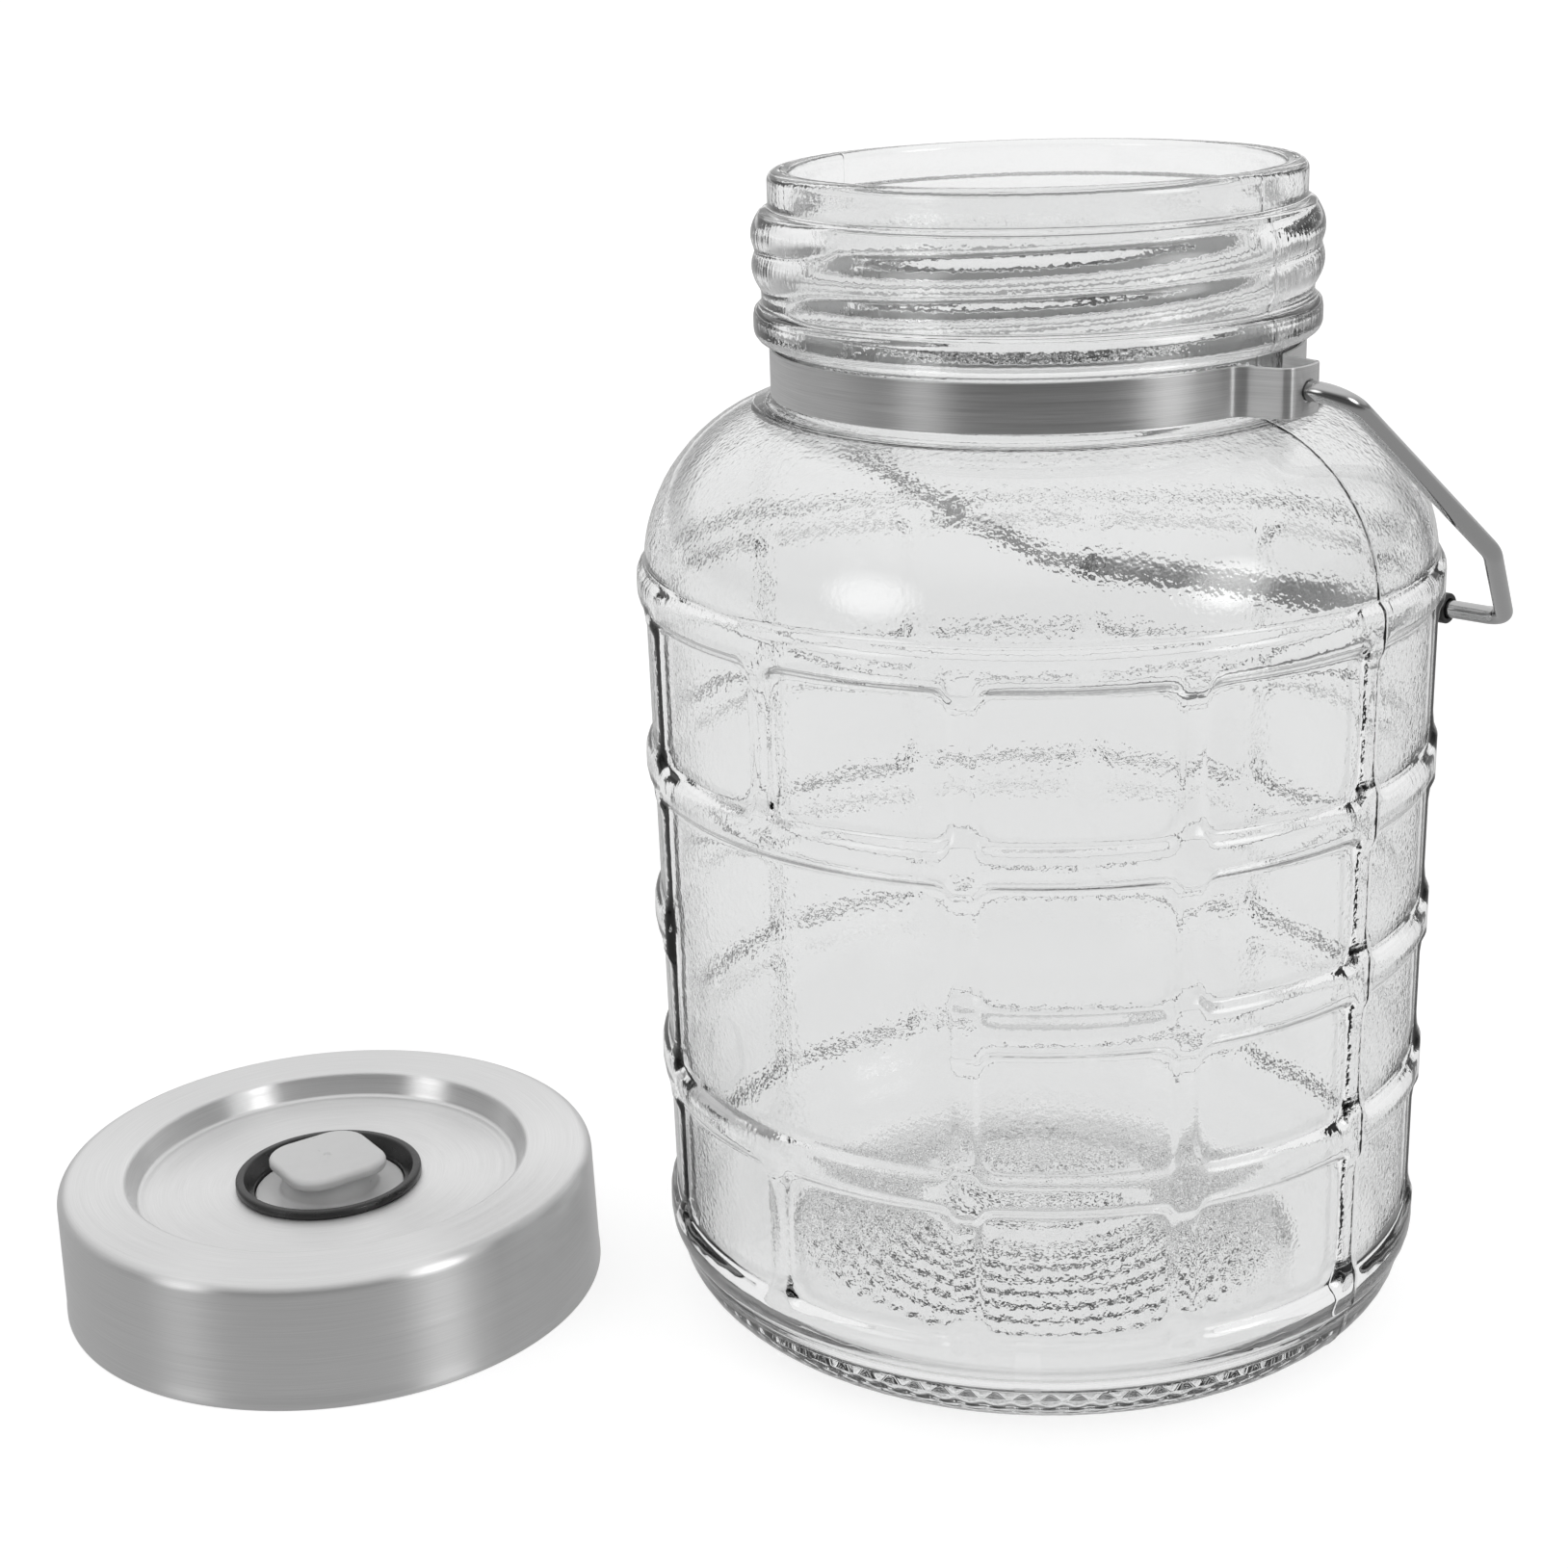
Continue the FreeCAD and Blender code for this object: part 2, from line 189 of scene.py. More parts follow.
def rounded(corners, closed=False, turn=radians(9.0)):
    """Polyline through (x, y, radius) corners.

    Each corner becomes points on the arc that touches both its sides, at equal steps of angle, with one
    more point a little way down each side so that the shading of the flat stays flat.
    """
    corners = [tuple(c) for c in corners]
    count = len(corners)
    out = []
    for i, (x, y, radius) in enumerate(corners):
        here = np.array([x, y])
        if radius <= 0 or (not closed and i in (0, count - 1)):
            out.append(here[None])
            continue
        back = np.array(corners[i - 1][:2]) - here
        ahead = np.array(corners[(i + 1) % count][:2]) - here
        back_length, ahead_length = np.linalg.norm(back), np.linalg.norm(ahead)
        back, ahead = back / back_length, ahead / ahead_length
        half = 0.5 * acos(max(-1.0, min(1.0, float(back @ ahead))))
        reach = radius / tan(half)
        middle = here + (back + ahead) / np.linalg.norm(back + ahead) * radius / sin(half)
        start, end = here + back * reach, here + ahead * reach
        a0 = atan2(*(start - middle)[::-1])
        sweep = atan2(*(end - middle)[::-1]) - a0
        sweep = (sweep + pi) % tau - pi
        angles = a0 + sweep * np.linspace(0, 1, max(3, int(abs(sweep) / turn) + 2))
        arc = middle + radius * np.stack([np.cos(angles), np.sin(angles)], 1)
        lead = 0.35 * radius
        before = [start + back * lead] if back_length > reach + 2.2 * lead else []
        after = [end + ahead * lead] if ahead_length > reach + 2.2 * lead else []
        out.append(np.vstack(before + [arc] + after))
    line = np.vstack(out)
    keep = np.r_[True, np.linalg.norm(np.diff(line, axis=0), axis=1) > 1e-7]
    return line[keep]


def densify(line, longest, closed=False):
    """Points added at equal steps so that no span of a polyline is longer than `longest`."""
    ends = np.vstack([line[1:], line[:1]]) if closed else line[1:]
    starts = line if closed else line[:-1]
    parts = []
    for a, b in zip(starts, ends):
        steps = max(1, int(ceil(np.linalg.norm(b - a) / longest)))
        parts.append(a + (b - a) * (np.arange(steps) / steps)[:, None])
    if not closed:
        parts.append(line[-1:])
    return np.vstack(parts)


def run_length(points):
    """Distance along a polyline at each point."""
    return np.r_[0.0, np.cumsum(np.linalg.norm(np.diff(points, axis=0), axis=1))]


def skin(name, grid, across, along, wrap_rows=False, slot_rows=None):
    """Mesh over a grid of points, as a new object.

    Row i runs along the outline and column j round the piece. A first or last row whose points are all one
    point becomes a pole. The faces are turned to point outwards, by the sign of the enclosed volume, which
    is the sum over triangles of p0 . (p1 x p2) / 6. `across` and `along` are the UV values of the columns
    and rows, in metres.
    """
    rows, columns = grid.shape[:2]
    index = np.arange(rows * columns).reshape(rows, columns)
    points = grid.reshape(-1, 3)
    poles = [r for r in (0, rows - 1) if np.ptp(grid[r], axis=0).max() < 1e-9 and not wrap_rows]
    for r in poles:
        index[r] = index[r, 0]
    index = np.hstack([index, index[:, :1]])
    if wrap_rows:
        index = np.vstack([index, index[:1]])
    uv = np.stack(np.meshgrid(across, along), -1)
    quads = np.stack([index[:-1, :-1], index[:-1, 1:], index[1:, 1:], index[1:, :-1]], -1)
    quad_uv = np.stack([uv[:-1, :-1], uv[:-1, 1:], uv[1:, 1:], uv[1:, :-1]], -2)
    row_of = np.repeat(np.arange(quads.shape[0])[:, None], quads.shape[1], 1)
    used = np.unique(index)
    renumber = np.zeros(rows * columns, int)
    renumber[used] = np.arange(len(used))
    faces, corner_uv, owner = [], [], []
    body = slice(int(0 in poles), quads.shape[0] - int(rows - 1 in poles))
    parts = [(quads[body], quad_uv[body], row_of[body], [0, 1, 2, 3])]
    if 0 in poles:
        parts.append((quads[0], quad_uv[0], row_of[0], [0, 2, 3]))
    if rows - 1 in poles:
        parts.append((quads[-1], quad_uv[-1], row_of[-1], [0, 1, 2]))
    for some, some_uv, some_rows, order in parts:
        faces += renumber[some[..., order]].reshape(-1, len(order)).tolist()
        corner_uv.append(some_uv[..., order, :].reshape(-1, 2))
        owner.append(some_rows.ravel())
    corner_uv, owner = np.vstack(corner_uv), np.concatenate(owner)
    p = points[quads.reshape(-1, 4).T]
    volume = np.einsum("ij,ij->", p[0], np.cross(p[1], p[2]) + np.cross(p[2], p[3]))
    mesh = bpy.data.meshes.new(name)
    mesh.from_pydata(points[used].tolist(), [], faces)
    mesh.uv_layers.new(name="UVMap").data.foreach_set("uv", corner_uv.ravel())
    if slot_rows is not None:
        mesh.polygons.foreach_set("material_index", np.asarray(slot_rows, int)[owner])
    if volume < 0:
        mesh.flip_normals()
    mesh.shade_smooth()
    mesh.update()
    thing = bpy.data.objects.new(name, mesh)
    bpy.context.scene.collection.objects.link(thing)
    return thing


def lathe(name, outline, segments, centre, closed=True):
    """Surface of revolution about the vertical: x = r cos t, y = r sin t, z kept from the outline."""
    angle = np.linspace(0, tau, segments, endpoint=False)
    r, z = outline[:, 0][:, None], outline[:, 1][:, None]
    x, y = centre[0] + r * np.cos(angle), centre[1] + r * np.sin(angle)
    grid = np.stack([x, y, z + 0 * angle], -1)
    loop = np.vstack([outline, outline[:1]]) if closed else outline
    span = tau * outline[:, 0].max() * np.linspace(0, 1, segments + 1)
    return skin(name, grid, span, run_length(loop), wrap_rows=closed)


def attach(thing, body, slot, nodes, *materials):
    """Give a piece its materials and the body it moves with, and hide the nodes it stands for; slot is not
    used.
    """
    for material in materials:
        thing.data.materials.append(material)
    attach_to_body(thing, body)
    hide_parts(*nodes)


# ---- material helpers


def feed(tree, node, inputs):
    """Link the inputs that are sockets, and set the rest on the node's own sockets."""
    for key, value in inputs.items():
        if isinstance(value, bpy.types.NodeSocket):
            tree.links.new(value, node.inputs[key])
        else:
            node.inputs[key].default_value = value


def put(tree, kind, inputs={}, **settings):
    """Add a shader node with its settings and inputs."""
    node = tree.nodes.new("ShaderNode" + kind)
    for key, value in settings.items():
        setattr(node, key, value)
    feed(tree, node, inputs)
    return node


def maths(tree, operation, *values):
    """A Math node's value."""
    return put(tree, "Math", dict(enumerate(values)), operation=operation).outputs[0]


def remap(tree, value, low, high, start=0.0, end=1.0, smooth=False):
    """A Map Range node's value: low to high becomes start to end."""
    inputs = {"Value": value, "From Min": low, "From Max": high, "To Min": start, "To Max": end}
    kind = "SMOOTHSTEP" if smooth else "LINEAR"
    return put(tree, "MapRange", inputs, interpolation_type=kind).outputs[0]


def noise(tree, place, scale, detail):
    """A Noise Texture's value."""
    return put(tree, "TexNoise", {"Vector": place, "Scale": scale, "Detail": detail}).outputs[0]


def blend(tree, factor, start, end):
    """A Mix node's value."""
    return put(tree, "Mix", {0: factor, 2: start, 3: end}, data_type="FLOAT").outputs[0]


def tinted(tree, factor, start, end):
    """A Mix node's colour."""
    return put(tree, "Mix", {0: factor, 6: (*start, 1), 7: (*end, 1)}, data_type="RGBA").outputs[2]


def bump(tree, height, strength, distance):
    """A Bump node's normal."""
    return put(tree, "Bump", {"Height": height, "Strength": strength, "Distance": distance}).outputs[0]


def object_place(tree):
    """Object coordinates."""
    return put(tree, "TexCoord").outputs["Object"]


def brushed_group():
    """Brushed grain as height, tone and roughness: fine and wide noise, stretched along U. Built once."""
    name = "Brushed grain"
    if name in bpy.data.node_groups:
        return bpy.data.node_groups[name]
    group = bpy.data.node_groups.new(name, "ShaderNodeTree")
    group.interface.new_socket(name="Vector", in_out="INPUT", socket_type="NodeSocketVector")
    for label in ("Lines per metre", "Stretch", "Dark tone", "Low roughness", "High roughness"):
        group.interface.new_socket(name=label, in_out="INPUT", socket_type="NodeSocketFloat")
    for label in ("Height", "Tone", "Roughness"):
        group.interface.new_socket(name=label, in_out="OUTPUT", socket_type="NodeSocketFloat")
    source = group.nodes.new("NodeGroupInput").outputs
    sink = group.nodes.new("NodeGroupOutput").inputs
    split = put(group, "SeparateXYZ", {0: source["Vector"]}).outputs
    slow = maths(group, "DIVIDE", source["Lines per metre"], source["Stretch"])
    u = maths(group, "MULTIPLY", split[0], slow)
    v = maths(group, "MULTIPLY", split[1], source["Lines per metre"])
    place = put(group, "CombineXYZ", {0: u, 1: v}).outputs[0]
    fine = noise(group, place, 1.0, 3.0)
    wide = noise(group, place, 0.17, 2.0)
    both = maths(group, "MULTIPLY_ADD", fine, 0.65, maths(group, "MULTIPLY", wide, 0.35))
    tone = remap(group, both, 0.3, 0.7, source["Dark tone"], 1.0)
    rough = remap(group, wide, 0.3, 0.7, source["Low roughness"], source["High roughness"])
    for label, value in (("Height", both), ("Tone", tone), ("Roughness", rough)):
        group.links.new(value, sink[label])
    return group


def start_material(name):
    """A material with only its output and a Principled BSDF."""
    material = bpy.data.materials.new(name)
    material.use_nodes = True
    tree = material.node_tree
    tree.nodes.clear()
    shader = put(tree, "BsdfPrincipled")
    put(tree, "OutputMaterial", {0: shader.outputs[0]})
    return material, tree, shader


def steel(name, base, lines, stretch, roughness, relief, anisotropy, dark):
    """Brushed steel whose grain runs along the piece's own U."""
    material, tree, shader = start_material(name)
    inputs = {
        "Vector": put(tree, "UVMap", uv_map="UVMap").outputs[0],
        "Lines per metre": lines,
        "Stretch": stretch,
        "Dark tone": dark,
        "Low roughness": roughness - 0.05,
        "High roughness": roughness + 0.05,
    }
    grain = put(tree, "Group", inputs, node_tree=brushed_group()).outputs
    inputs = {
        "Base Color": tinted(tree, grain["Tone"], BLACK, base),
        "Roughness": grain["Roughness"],
        "Metallic": 1.0,
        "Anisotropic": anisotropy,
        "Anisotropic Rotation": 0.25,
        "Tangent": put(tree, "Tangent", direction_type="UV_MAP", uv_map="UVMap").outputs[0],
        "Normal": bump(tree, grain["Height"], relief, 0.04 * MM),
    }
    feed(tree, shader, inputs)
    return material


def glass(name, tint, relief, *details):
    """Smooth clear glass; relief gives its height in metres from the tree, Object coordinates and details."""
    material, tree, shader = start_material(name)
    height = maths(tree, "DIVIDE", relief(tree, object_place(tree), *details), MM)
    inputs = {
        "Base Color": (*tint, 1),
        "Roughness": 0.0,
        "IOR": 1.5,
        "Transmission Weight": 1.0,
        "Normal": bump(tree, height, 1.0, MM),
    }
    feed(tree, shader, inputs)
    return material


def uneven(tree, place, *scales):
    """Height of a faintly uneven skin: the sum of noises, each given by its scale and depth."""
    height = 0.0
    for scale, depth in scales:
        height = maths(tree, "MULTIPLY_ADD", noise(tree, place, scale, 1.5), depth, height)
    return height


def plastic(name, base, roughness, scale, depth, soft=0.0):
    """Moulded plastic with a faint grain."""
    material, tree, shader = start_material(name)
    grain = noise(tree, object_place(tree), scale, 3.0)
    inputs = {
        "Base Color": tinted(tree, grain, [c * 0.94 for c in base], [min(1.0, c * 1.04) for c in base]),
        "Roughness": remap(tree, grain, 0.3, 0.7, roughness * 0.85, roughness * 1.15),
        "Subsurface Weight": soft,
        "Subsurface Radius": (4 * MM, 4 * MM, 4 * MM),
        "Subsurface Scale": 1.0,
        "Normal": bump(tree, grain, 0.5, depth),
    }
    feed(tree, shader, inputs)
    return material


# ---- the glass


def wrapped(angle):
    """The same angle, between minus pi and pi."""
    return (angle + pi) % tau - pi


def smooth_rise(x, ease):
    """Clip at zero with a soft foot: e log(1 + exp(x / e))."""
    return ease * np.logaddexp(0.0, x / ease)


def wall_outline(s, z):
    """Outside radius of the plain body at height z: heel arc, leaning wall, shoulder arc."""
    start, arc, corner = shoulder(s)
    base = s.body_radius - s.wall_draft
    lean = s.wall_draft / corner
    sag = np.sqrt(np.clip(s.heel_radius**2 - (s.heel_radius - z) ** 2, 0, None))
    heel = base - s.heel_radius + sag
    turn = np.sqrt(np.clip(arc**2 - (z - start) ** 2, 0, None))
    above = np.where(z > start, base + lean * start - arc + turn, base + lean * z)
    return np.where(z < s.heel_radius, heel, above)


def shoulder(s):
    """Foot of the shoulder's arc, the arc's radius, and the height where the wall would meet the slope."""
    across = s.body_radius - s.neck_radius
    corner = s.body_height - across * tan(s.shoulder_slope)
    reach = across / cos(s.shoulder_slope) - 1.5 * MM
    return corner - reach, reach / tan((pi / 2 - s.shoulder_slope) / 2), corner


def rib_relief(s, angle, z, rings, radius):
    """Height of the window-pane ribs.

    Each pane is a rounded rectangle on the unrolled wall, stretched sideways so that rings and uprights are
    equally wide. With d the distance outside the nearest pane, as a share of half a rib, a ring's height
    is 1 - (1 - d)^4 and an upright's, with its flanks in the outer 0.6 of that half, is d^2 (3 - 2 d).
    """
    half = s.ring_width / 2
    stretch = s.ring_width / s.rib_width
    nearest = np.minimum(rings[4] + half - z, z - rings[0] + half)
    panes = []
    for column in range(12):
        for row in range(4):
            if column in (10, 11) and row in (1, 2):
                continue
            panes.append((column + 0.5, 1, rings[row], rings[row + 1]))
    panes.append((11.0, 2, rings[1], rings[3]))
    for middle, cells, low, high in panes:
        turn = wrapped(angle - s.rib_turn - middle * PANE_TURN)
        across = np.abs(turn) * radius * stretch - (cells * PANE_TURN * radius * stretch / 2 - half)
        up = np.abs(z - (low + high) / 2) - ((high - low) / 2 - half)
        a, b = across + s.pane_corner, up + s.pane_corner
        outside = np.hypot(np.maximum(a, 0), np.maximum(b, 0))
        nearest = np.minimum(nearest, outside + np.minimum(np.maximum(a, b), 0) - s.pane_corner)
    foot_ease, upright_flank = 0.06, 0.6
    rise = np.minimum(smooth_rise(nearest / half, foot_ease), 1.0)
    # a ring's height holds over its own width and falls to an upright's over the next 0.9 of half a width
    off = np.min(np.abs(z[..., None] - rings), axis=-1) / half
    merge = np.clip((1.9 - off) / 0.9, 0, 1)
    merge = merge * merge * (3 - 2 * merge)
    flank = np.minimum(rise / upright_flank, 1.0)
    upright = s.rib_proud * flank * flank * (3 - 2 * flank)
    ring = s.ring_proud * (1 - (1 - rise) ** 4)
    return upright + (ring - upright) * merge


def thread_relief(s, angle, z):
    """Height of the two-start thread: each ridge is 1 - (distance from its helix / half width)^2, and it
    swells and dies away along its two ends; where two ridges meet the higher one wins softly."""
    total = np.zeros(np.broadcast(angle, z).shape)
    sweep, taper, half = radians(380), radians(13), 5.4 * MM
    lowest, ease, join = 24.0 * MM, 0.1, 0.25 * MM
    for first in (radians(-150), radians(30)):
        for lap in (0, 1):
            turn = (angle - first) % tau + lap * tau
            crest = s.body_height + lowest + s.thread_lead * turn / tau
            swell = np.clip(np.minimum(turn, sweep - turn) / taper, 0, 1)
            swell = swell * swell * (3 - 2 * swell)
            gap = (z - crest) / half
            ridge = s.thread_proud * swell * smooth_rise(1 - gap * gap, ease)
            total = 0.5 * (total + ridge + np.sqrt((total - ridge) ** 2 + join**2 * swell))
    return total


def seam_relief(s, angle, radius):
    """Fine ridge down each of the two mould seams: exp(-(arc from the seam / width)^2)."""
    out, width = 0.0, 0.36 * MM
    for first in (s.seam_turn, s.seam_turn + pi):
        arc = wrapped(angle - first) * radius
        out = out + s.seam_proud * np.exp(-((arc / width) ** 2))
    return out


def glass_columns(s):
    """Bearings of the mesh's columns, close together over each upright rib and each seam."""
    near = np.array([0, 1.4, 2.0, 2.5, 2.95, 3.4, 4.2, 6.0, 8.8]) * MM / s.body_radius
    near = np.r_[-near[:0:-1], near]
    between = np.linspace(near[-1], PANE_TURN + near[0], 5)[1:-1]
    cell = np.r_[near, between]
    angles = (s.rib_turn + np.add.outer(np.arange(12) * PANE_TURN, cell)).ravel() % tau
    fine = np.array([-0.9, -0.55, -0.3, -0.12, 0.12, 0.3, 0.55, 0.9]) * MM / s.body_radius
    for first in (s.seam_turn, s.seam_turn + pi):
        gap = wrapped(angles - first)
        angles = angles[np.abs(gap) > 1.05 * MM / s.body_radius]
        angles = np.r_[angles, (first + fine) % tau]
    return np.sort(angles)


def wall_heights(s, rings):
    """Heights of the mesh's rows from the heel to the shoulder, close together over each ring."""
    start, arc, _ = shoulder(s)
    near = np.array([0, 1.5, 2.6, 3.4, 4.0, 4.4, 4.75, 5.2, 6.0, 7.6, 10.6]) * MM
    near = np.r_[-near[:0:-1], near]
    between = np.linspace(rings[:-1] + near[-1], rings[1:] - near[-1], 4)[1:-1]
    heel = s.heel_radius * (1 - np.cos(np.radians(np.arange(6, 90, 8))))
    turn = start + arc * np.sin(np.radians(np.arange(6, 77.3, 4.6)))
    z = np.concatenate([np.add.outer(rings, near).ravel(), between.ravel(), heel, turn])
    z = np.unique(z.round(6))
    z = z[(z > 0) & (z < s.body_height - 0.4 * MM)]
    return z[np.r_[True, np.diff(z) > 0.25 * MM]]


def under_outline(s):
    """Hollow under the base and the ring that the jar stands on, as (r, z): an arc that ends tangent to a
    straight flank, with raised circles h cos(2 pi r / pitch) that fade at a plain collar and at the foot."""
    middle, collar, last = 26 * MM, 29 * MM, 61 * MM
    r = np.r_[np.linspace(0, middle, 40), np.linspace(middle + 0.7 * MM, last, 50)]
    half = s.push_up_radius / 2
    slope = atan2(s.push_up, half)
    radius = half / tan(slope / 2)
    arc = s.push_up - radius + np.sqrt(radius**2 - np.minimum(r, radius * sin(slope)) ** 2)
    flank = s.push_up - (r - half) * tan(slope)
    hollow = np.where(r < half * (1 + cos(slope)), arc, flank)
    fade = np.clip((middle - r) / (3 * MM), 0, 1) + np.clip((r - collar) / (2 * MM), 0, 1)
    fade *= np.clip((last - r) / (9 * MM), 0, 1)
    height = np.where(r < (middle + collar) / 2, 0.26 * MM, 0.10 * MM)
    circles = height * fade * np.cos(tau * r / s.circle_pitch)
    start = last + 0.5 * MM
    corners = [
        (start, (s.push_up_radius - start) * tan(slope), 0),
        (s.push_up_radius, 0, 1.5 * MM),
        (s.body_radius - s.wall_draft - s.heel_radius, 0, 0),
    ]
    return np.stack([r, hollow + circles], 1), densify(rounded(corners), 4 * MM)


def neck_outline(s):
    """Neck and inside, as (r, z): the band's seat, the bead, the threaded land, the rim, and down the inside
    to the middle of the floor. Returned as the part up to the rim and the part beyond it."""
    _, arc, corner = shoulder(s)
    foot, seat, top = s.body_height, s.neck_radius, s.body_height + s.neck_height
    bead, land, lip, throat = seat + 4.3 * MM, seat + 2.1 * MM, seat + 0.3 * MM, seat - s.neck_wall
    slope, half = s.shoulder_slope, s.push_up_radius / 2
    inside_corner = corner - s.wall / cos(slope) + s.wall * tan(slope)
    crown = s.push_up + s.floor_thick
    rise = atan2(crown - s.floor_edge, half)
    corners = [
        (seat + 3 * MM, foot - 3 * MM * tan(slope), 0),
        (seat, foot, 1.5 * MM),
        (seat, foot + 13.1 * MM, 0.8 * MM),
        (bead, foot + 13.9 * MM, 3.0 * MM),
        (bead, foot + 20.7 * MM, 3.0 * MM),
        (land, foot + 21.7 * MM, 1.0 * MM),
        (land, foot + s.land_top, 1.0 * MM),
        (lip, foot + s.land_top + 0.8 * MM, 0.8 * MM),
        (lip, top, 2.3 * MM),
        (throat, top, 1.6 * MM),
        (throat, foot - s.wall, 3.0 * MM),
        (s.body_radius - s.wall, inside_corner, arc - s.wall),
        (s.body_radius - s.wall_draft - s.wall, s.floor_edge, 13 * MM),
        (s.push_up_radius + 1.5 * MM, s.floor_edge, 7.5 * MM),
        (half, crown, half / tan(rise / 2) * 0.98),
        (0, crown, 0),
    ]
    outline = rounded(corners, turn=radians(12))
    rim = int(np.argmax(outline[:, 1]))
    outside, z = outline[:rim], outline[:rim, 1]
    threaded = np.flatnonzero((z > foot + 20.5 * MM) & (z < foot + s.land_top + 1.5 * MM))
    first, last = threaded[0], threaded[-1]
    below = densify(outside[: first + 1], 5 * MM)
    within = densify(outside[first : last + 1], 1.0 * MM)[1:-1]
    above = densify(outside[last:], 5 * MM)
    return np.vstack([below, within, above]), densify(outline[rim:], 15 * MM)


def make_glass(s, finish):
    """The jar as one closed skin: the outline turned about the vertical, x = r cos t, y = r sin t, with the
    relief of ribs, thread and seams added to r where it lies outside."""
    t = glass_columns(s)[None, :]
    lowest, highest = 20 * MM, shoulder(s)[0] - 2.5 * MM
    rings = lowest + (highest - lowest) * np.array([0.0, 0.258, 0.494, 0.733, 1.0])
    under, foot = under_outline(s)
    z = wall_heights(s, rings)
    wall = np.stack([wall_outline(s, z), z], 1)
    outside, inside = neck_outline(s)
    outline = np.vstack([under, foot, wall, outside, inside])
    outline = outline[np.r_[True, np.linalg.norm(np.diff(outline, axis=0), axis=1) > 1e-6]]
    rows = np.arange(len(outline))
    beyond_rim = rows >= len(outline) - len(inside)
    r, h = outline[:, :1], outline[:, 1:]
    level = outline[:, 1]
    neck_foot, land_top = s.body_height, s.body_height + s.land_top
    lift = np.zeros((len(outline), t.size))
    on_wall = (rows >= len(under) + len(foot) - 2) & ~beyond_rim & (level < neck_foot)
    lift[on_wall] = rib_relief(s, t, h[on_wall], rings, r[on_wall])
    on_neck = ~beyond_rim & (level > neck_foot + 20 * MM) & (level < land_top + 0.2 * MM)
    lift[on_neck] = thread_relief(s, t, h[on_neck])
    seamed = (rows >= len(under)) & ~beyond_rim & (level > 2 * MM)
    seamed &= level < neck_foot + s.neck_height - 1 * MM
    lift[seamed] += seam_relief(s, t, r[seamed]) * np.where(h[seamed] > neck_foot, 0.35, 1.0)
    radius = r + lift
    grid = np.stack([radius * np.cos(t), radius * np.sin(t), h + 0 * t], -1)
    mottled = beyond_rim & (level > 26 * MM)
    slots = np.where(mottled, 1, np.where(rows < len(under), 2, 0))
    across = np.r_[t[0], t[0, 0] + tau] * s.body_radius
    jar = skin("jar_clear", grid, across, run_length(outline), slot_rows=slots)
    tint, depth = finish.glass_tint, finish.glass_mottle * MM
    attach(
        jar,
        "jar",
        "glass",
        ("jar_body", "jar_neck"),
        glass("Clear glass", tint, uneven, (55.0, 0.14 * depth)),
        glass("Clear glass, inside", tint, uneven, (90.0, 0.12 * depth), (800.0, 0.17 * depth)),
        glass("Clear glass, stippled", tint, stippled, s.circle_pitch),
    )


def stippled(tree, place, pitch):
    """Height of wavy circles of raised dots: cos(2 pi r / pitch + sway cos(dots t)) at radius r and bearing
    t, from the plain collar to the foot of the hollow."""
    sway, dots, depth = 0.7, 66.0, 0.26 * MM
    x, y, _ = put(tree, "SeparateXYZ", {0: place}).outputs
    r = maths(tree, "SQRT", maths(tree, "MULTIPLY_ADD", x, x, maths(tree, "MULTIPLY", y, y)))
    wave = maths(tree, "COSINE", maths(tree, "MULTIPLY", maths(tree, "ARCTAN2", y, x), dots))
    phase = maths(tree, "MULTIPLY_ADD", r, tau / pitch, maths(tree, "MULTIPLY", wave, sway))
    inner = remap(tree, r, 27.5 * MM, 30 * MM, 0.0, depth)
    outer = remap(tree, r, 53 * MM, 62 * MM, 1.0, 0.0)
    return maths(tree, "MULTIPLY", maths(tree, "COSINE", phase), maths(tree, "MULTIPLY", inner, outer))


# ---- the steel band, bail and grip


def band_path(s):
    """Middle line of the strip in plan: the neck's circle, a concave fillet, an ear's leaning side, its
    rounded corner and bulged face, and the same again for the ear opposite."""
    ring = s.band_inner + s.band_thick / 2
    face = s.band_inner + s.band_thick / 2 + s.ear_reach
    edge = face - s.ear_bulge
    side = atan2((s.ear_root - s.ear_face) / 2, s.ear_reach - s.ear_bulge)
    half = s.ear_face / 2 - s.band_thick / 2
    toward = np.array([-cos(side), sin(side)])
    normal = np.array([sin(side), cos(side)])
    corner = np.array([edge, half])
    # the fillet's circle touches the ear's side and, from outside, the ring
    fillet = 4.4 * MM
    origin = corner + normal * fillet
    b = float(origin @ toward)
    c = float(origin @ origin) - (ring + fillet) ** 2
    middle = origin + toward * (-b - sqrt(b * b - c))
    on_ring = atan2(middle[1], middle[0])
    leave = middle - normal * fillet
    first = atan2(-normal[1], -normal[0])
    sweep = (on_ring - first) % tau - pi
    angles = first + sweep * np.linspace(0, 1, 12)
    root = middle + fillet * np.stack([np.cos(angles), np.sin(angles)], 1)
    bulge = (face + 0.35 * MM, 0, 14 * MM)
    corners = [(*leave, 0), (*corner, 2 * MM), bulge, (edge, -half, 2 * MM), (leave[0], -leave[1], 0)]
    ear = densify(rounded(corners, turn=radians(10)), 1.0 * MM)
    arc = np.linspace(on_ring, pi - on_ring, 130)[1:-1]
    circle = ring * np.stack([np.cos(arc), np.sin(arc)], 1)
    low_root = (root * [1, -1])[:0:-1]
    half_path = np.vstack([low_root, ear[::-1], root[1:], circle])
    whole = np.vstack([half_path, -half_path])
    keep = np.linalg.norm(whole - np.roll(whole, 1, 0), axis=1) > 1e-6
    return whole[keep]


